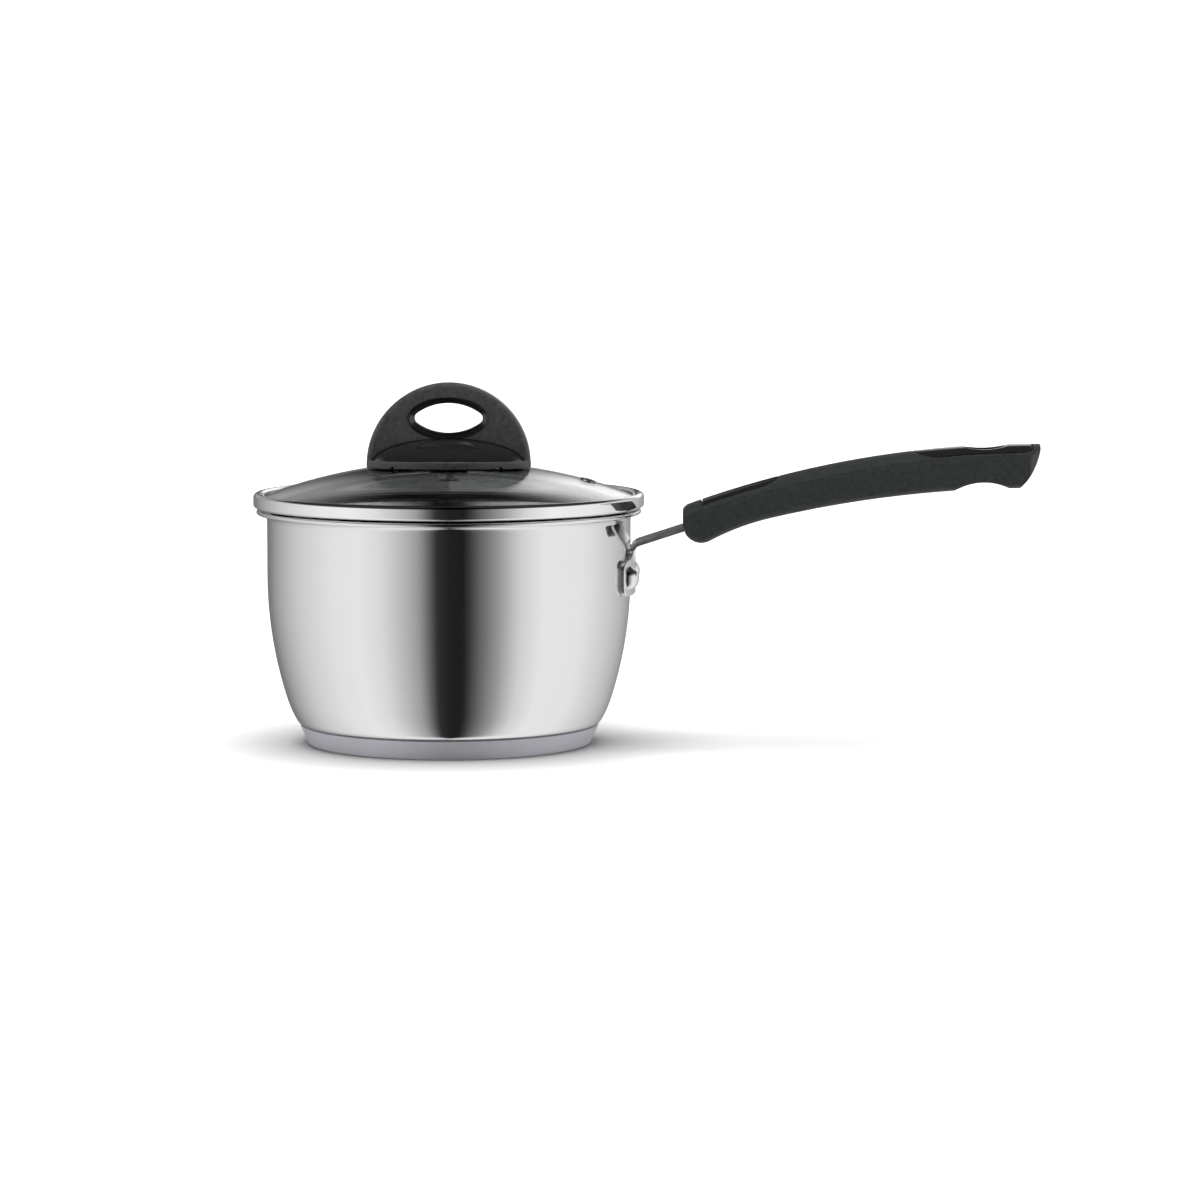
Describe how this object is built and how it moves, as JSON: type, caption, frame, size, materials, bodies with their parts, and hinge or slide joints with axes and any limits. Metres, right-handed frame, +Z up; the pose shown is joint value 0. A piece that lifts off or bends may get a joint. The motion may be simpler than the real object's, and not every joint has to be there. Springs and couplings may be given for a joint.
{
  "type": "saucepan with glass lid",
  "caption": "Steel saucepan with a bellied body, sandwich base, riveted long handle and a lift-off domed glass lid with a rim band, steam vent and arched knob.",
  "frame": {"origin": "centre of the base's flat rest face, on the pot's axis", "axes": "+Z up along the pot's axis, +X along the long handle, +Y across, square to both"},
  "size_m": [0.349, 0.1736, 0.1603],
  "materials": {
    "polished_steel": "mirror-polished stainless steel",
    "satin_steel": "satin stainless steel",
    "bracket_steel": "polished stainless steel",
    "rivet_steel": "polished stainless steel",
    "core_aluminium": "plain aluminium, sealed in",
    "band_steel": "mirror-polished stainless steel",
    "grained_plastic": "fine-grained black phenolic plastic",
    "gloss_plastic": "polished black plastic",
    "screw_steel": "zinc-plated steel",
    "lid_glass": "clear toughened glass",
    "clear_sealant": "translucent silicone",
    "black_silicone": "soft black silicone",
    "insert_brass": "plain brass"
  },
  "bodies": {
    "pot": {"pot_shell": "polished_steel", "base_core": "core_aluminium", "base_cap": "satin_steel", "handle_bracket": "bracket_steel", "handle_rivet_front": "rivet_steel", "handle_rivet_rear": "rivet_steel", "handle_grip": "grained_plastic", "hang_insert": "gloss_plastic", "thumb_inlay": "gloss_plastic", "handle_screw": "screw_steel"},
    "lid": {"lid_glass": "lid_glass", "lid_rim_band": "band_steel", "lid_rim_bedding": "clear_sealant", "vent_grommet": "rivet_steel", "knob_grip": "grained_plastic", "knob_base": "gloss_plastic", "knob_insert": "insert_brass", "knob_seal_upper": "black_silicone", "knob_seal_lower": "black_silicone", "knob_washer": "screw_steel", "knob_screw": "screw_steel"}
  },
  "joints": [
    {"name": "lid_lift", "type": "slide", "parent": "pot", "child": "lid", "axis": [0, 0, 1], "range_m": [0, 0.12]}
  ]
}
